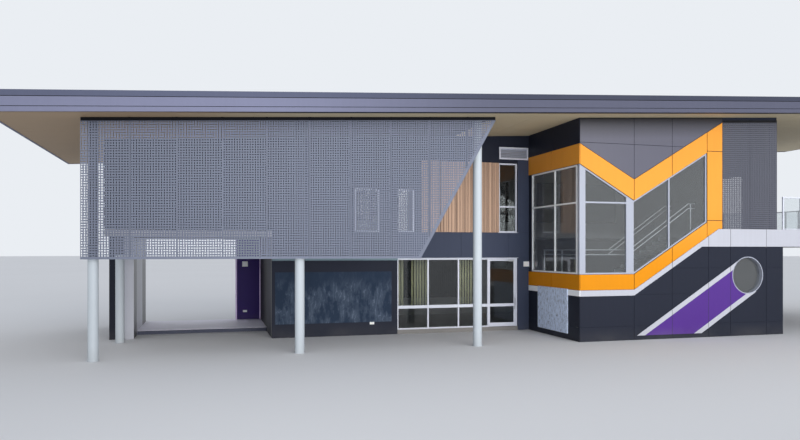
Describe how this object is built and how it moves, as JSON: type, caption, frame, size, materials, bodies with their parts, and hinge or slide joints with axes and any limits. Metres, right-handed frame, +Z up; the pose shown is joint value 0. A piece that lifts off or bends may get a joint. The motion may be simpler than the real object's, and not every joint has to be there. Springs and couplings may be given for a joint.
{
  "type": "two-storey school building",
  "caption": "Two-storey school building with a long skillion roof, a perforated screen on round columns, a folded-band stair bay and an open deck.",
  "frame": {"origin": "under the middle of the roof, at the lowest ground level that the columns and walls reach", "axes": "+X along the front to the right, +Y from the front to the back, +Z up"},
  "size_m": [39.26, 12.06, 9.8455],
  "materials": {
    "board_print": "speckled grey print",
    "chalkboard": "matt chalkboard paint",
    "charcoal_cladding": "charcoal compressed sheet cladding with open joints",
    "column_paint": "pale grey paint",
    "concrete": "smooth cast concrete",
    "fascia_paint": "blue grey colour coated steel",
    "frame_white": "white powder coat",
    "glass": "clear glass",
    "grey_cladding": "grey compressed sheet cladding with open joints",
    "light": "opal cover",
    "orange_panel": "satin orange panel",
    "pale_trim": "pale grey painted panel",
    "perforated_metal": "grey perforated sheet",
    "purple_panel": "satin purple panel",
    "roof_metal": "ribbed colour coated sheet",
    "soffit_lining": "flat painted sheet lining",
    "steel": "brushed",
    "timber": "vertical boards of mixed width, clear finish",
    "white_panel": "satin white panel"
  },
  "bodies": {
    "building": {"back_wall": "charcoal_cladding", "back_window_frames": "frame_white", "balustrade_glass": "glass", "bay_front_frame": "frame_white", "bay_front_wall": "charcoal_cladding", "bay_glass": "glass", "bay_return_frame": "frame_white", "bay_return_wall": "charcoal_cladding", "bay_screen": "perforated_metal", "chalk_wall": "charcoal_cladding", "chalkboard": "chalkboard", "classroom_frame": "frame_white", "columns": "column_paint", "deck_balustrade": "frame_white", "deck_slab": "concrete", "door_frame": "frame_white", "door_side_wall": "charcoal_cladding", "fascia_back": "fascia_paint", "fascia_front": "fascia_paint", "fascia_left": "fascia_paint", "fascia_right": "fascia_paint", "first_floor": "concrete", "grey_cladding": "grey_cladding", "ground_floor": "concrete", "half_landing": "concrete", "head_strip": "pale_trim", "left_lower_wall": "charcoal_cladding", "left_upper_wall": "charcoal_cladding", "louvre_vent": "frame_white", "notice_board": "board_print", "orange_band": "orange_panel", "passage_beams": "charcoal_cladding", "passage_lining": "pale_trim", "passage_right_wall": "charcoal_cladding", "purple_band": "purple_panel", "purple_band_edges": "white_panel", "purple_wall": "purple_panel", "right_wall": "charcoal_cladding", "roof_sheeting": "roof_metal", "round_window_ring": "frame_white", "screen_beam": "charcoal_cladding", "screen_frame": "perforated_metal", "screen_panels": "perforated_metal", "soffit_lining": "soffit_lining", "spandrel_wall": "charcoal_cladding", "stair_rails": "steel", "stair_stringers": "steel", "stair_treads": "concrete", "timber_cladding": "timber", "upper_front_wall": "charcoal_cladding", "upper_window_frames": "frame_white", "wall_lights": "light", "wall_sockets": "light", "white_band": "white_panel", "window_glass": "glass"},
    "door": {"classroom_door": "frame_white", "door_glass": "glass", "door_handle": "steel"}
  },
  "joints": [
    {"name": "door_hinge", "type": "hinge", "parent": "building", "child": "door", "pos_m": [-2.3685, -0.81, 0.16], "axis": [0, 0, -1], "range_deg": [0, 90]}
  ]
}
